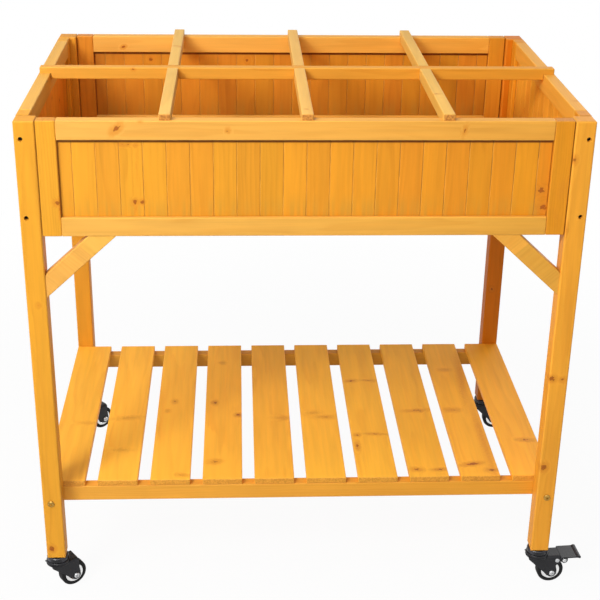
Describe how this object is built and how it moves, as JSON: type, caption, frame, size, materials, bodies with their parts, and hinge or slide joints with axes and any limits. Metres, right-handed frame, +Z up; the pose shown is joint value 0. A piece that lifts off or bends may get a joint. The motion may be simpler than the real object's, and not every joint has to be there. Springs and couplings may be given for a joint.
{
  "type": "rolling planter",
  "caption": "Panelled timber planter box with a lift-out divider grid on four square legs, with a slatted shelf and swivel casters, two of them braked.",
  "frame": {"origin": "on the floor, under the middle of the planter's overall box", "axes": "+X along the width, towards the braked casters; +Y from the front to the back; +Z up"},
  "size_m": [1.0404, 0.6697, 0.9511],
  "materials": {
    "leg_wood": "clear honey stain, fine planed grain",
    "rail_wood": "clear honey stain, fine planed grain",
    "board_wood": "clear honey stain, tongue-and-groove boards with small knots",
    "inner_wood": "clear honey stain, shaded and rougher",
    "divider_wood": "clear honey stain, pale",
    "slat_wood": "clear honey stain, small knots",
    "yellow_zinc_steel": "yellow passivated zinc plating",
    "black_zinc_steel": "black passivated zinc plating",
    "bright_zinc_steel": "clear zinc plating, satin",
    "bright_ring": "polished plating",
    "black_steel": "gloss black powder coat",
    "black_plastic": "moulded black plastic, matt",
    "black_rubber": "moulded black rubber, matt",
    "shoe_rubber": "moulded black rubber, matt"
  },
  "bodies": {
    "frame": {"leg_front_left": "leg_wood", "leg_front_right": "leg_wood", "leg_rear_left": "leg_wood", "leg_rear_right": "leg_wood", "front_rails": "rail_wood", "front_stiles": "rail_wood", "front_boards": "board_wood", "rear_rails": "rail_wood", "rear_stiles": "rail_wood", "rear_boards": "board_wood", "left_rails": "rail_wood", "left_stiles": "rail_wood", "left_boards": "board_wood", "right_rails": "rail_wood", "right_stiles": "rail_wood", "right_boards": "board_wood", "floor_boards": "inner_wood", "floor_cleats": "inner_wood", "brace_front_left": "leg_wood", "brace_front_right": "leg_wood", "brace_rear_left": "leg_wood", "brace_rear_right": "leg_wood", "shelf_rails": "rail_wood", "shelf_slats": "slat_wood", "wood_screws": "black_zinc_steel", "shelf_fixings": "yellow_zinc_steel", "stem_inserts": "bright_zinc_steel", "caster_stems": "black_steel", "swivel_balls": "bright_ring"},
    "cross_dividers": {"cross_divider_left": "divider_wood", "cross_divider_middle": "divider_wood", "cross_divider_right": "divider_wood"},
    "long_divider": {"long_divider": "divider_wood"},
    "caster_front_left": {"fork_front_left": "black_steel", "axle_front_left": "bright_zinc_steel"},
    "wheel_front_left": {"hub_front_left": "black_plastic", "trim_front_left": "bright_ring", "tyre_front_left": "black_rubber"},
    "caster_front_right": {"fork_front_right": "black_steel", "axle_front_right": "bright_zinc_steel"},
    "wheel_front_right": {"hub_front_right": "black_plastic", "trim_front_right": "bright_ring", "tyre_front_right": "black_rubber"},
    "caster_rear_left": {"fork_rear_left": "black_steel", "axle_rear_left": "bright_zinc_steel"},
    "wheel_rear_left": {"hub_rear_left": "black_plastic", "trim_rear_left": "bright_ring", "tyre_rear_left": "black_rubber"},
    "caster_rear_right": {"fork_rear_right": "black_steel", "axle_rear_right": "bright_zinc_steel"},
    "wheel_rear_right": {"hub_rear_right": "black_plastic", "trim_rear_right": "bright_ring", "tyre_rear_right": "black_rubber"},
    "brake_front_right": {"pedal_front_right": "black_steel", "shoe_front_right": "shoe_rubber", "shoe_rivet_front_right": "bright_zinc_steel"},
    "brake_rear_right": {"pedal_rear_right": "black_steel", "shoe_rear_right": "shoe_rubber", "shoe_rivet_rear_right": "bright_zinc_steel"}
  },
  "joints": [
    {"name": "cross_divider_lift", "type": "slide", "parent": "frame", "child": "cross_dividers", "axis": [0, 0, 1], "range_m": [0, 0.15]},
    {"name": "long_divider_lift", "type": "slide", "parent": "cross_dividers", "child": "long_divider", "axis": [0, 0, 1], "range_m": [0, 0.1]},
    {"name": "swivel_front_left", "type": "hinge", "parent": "frame", "child": "caster_front_left", "pos_m": [-0.49575, -0.31185, 0.0795], "axis": [0, 0, 1], "continuous": true},
    {"name": "roll_front_left", "type": "hinge", "parent": "caster_front_left", "child": "wheel_front_left", "pos_m": [-0.47281, -0.29579, 0.026], "axis": [-0.5736, 0.8192, 0], "continuous": true},
    {"name": "swivel_front_right", "type": "hinge", "parent": "frame", "child": "caster_front_right", "pos_m": [0.43425, -0.31185, 0.0795], "axis": [0, 0, 1], "continuous": true},
    {"name": "roll_front_right", "type": "hinge", "parent": "caster_front_right", "child": "wheel_front_right", "pos_m": [0.46218, -0.30989, 0.026], "axis": [-0.0698, 0.9976, 0], "continuous": true},
    {"name": "brake_front_right", "type": "hinge", "parent": "caster_front_right", "child": "brake_front_right", "pos_m": [0.47136, -0.30925, 0.054], "axis": [-0.0698, 0.9976, 0], "range_deg": [0, 14]},
    {"name": "swivel_rear_left", "type": "hinge", "parent": "frame", "child": "caster_rear_left", "pos_m": [-0.49575, 0.29115, 0.0795], "axis": [0, 0, 1], "continuous": true},
    {"name": "roll_rear_left", "type": "hinge", "parent": "caster_rear_left", "child": "wheel_rear_left", "pos_m": [-0.47494, 0.30989, 0.026], "axis": [-0.6691, 0.7431, 0], "continuous": true},
    {"name": "swivel_rear_right", "type": "hinge", "parent": "frame", "child": "caster_rear_right", "pos_m": [0.43425, 0.29115, 0.0795], "axis": [0, 0, 1], "continuous": true},
    {"name": "roll_rear_right", "type": "hinge", "parent": "caster_rear_right", "child": "wheel_rear_right", "pos_m": [0.46225, 0.29115, 0.026], "axis": [0, 1, 0], "continuous": true},
    {"name": "brake_rear_right", "type": "hinge", "parent": "caster_rear_right", "child": "brake_rear_right", "pos_m": [0.47145, 0.29115, 0.054], "axis": [0, 1, 0], "range_deg": [0, 14]}
  ]
}
